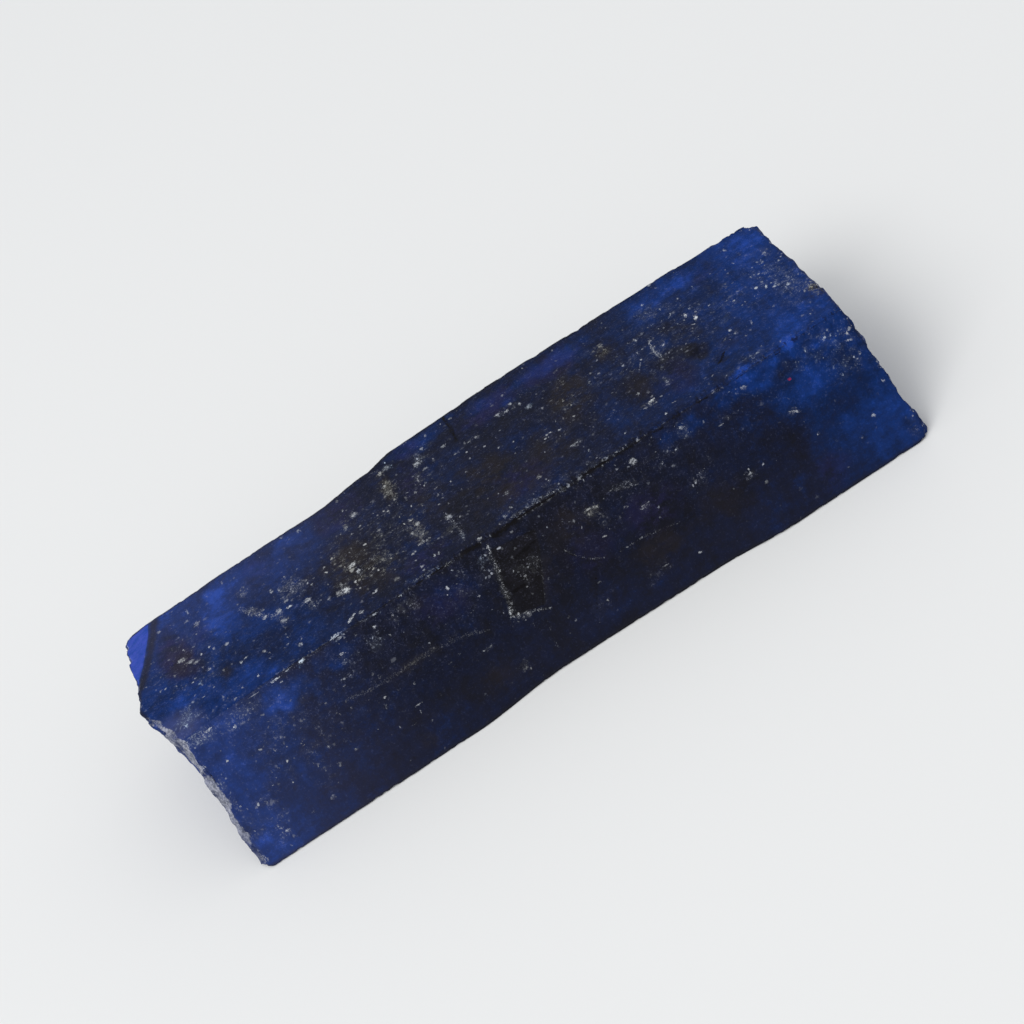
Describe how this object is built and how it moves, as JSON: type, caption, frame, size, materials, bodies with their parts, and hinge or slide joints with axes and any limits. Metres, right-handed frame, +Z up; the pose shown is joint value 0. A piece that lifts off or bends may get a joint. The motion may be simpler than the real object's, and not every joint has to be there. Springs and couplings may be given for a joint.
{
  "type": "rough sapphire",
  "caption": "Long dark blue sapphire bar, unpolished, with one sharp chipped ridge and broken ends, lying on its flattest side.",
  "frame": {"origin": "under the middle of the bar's box, on the surface that it rests on", "axes": "+X along the bar, +Y from the steep ridged side towards the far side, +Z up"},
  "size_m": [0.0836, 0.0292, 0.0151],
  "materials": {
    "sapphire": "unpolished satin blue corundum, dusty, with pale chips along the ridge"
  },
  "bodies": {
    "root": {"sapphire": "sapphire"}
  },
  "joints": []
}
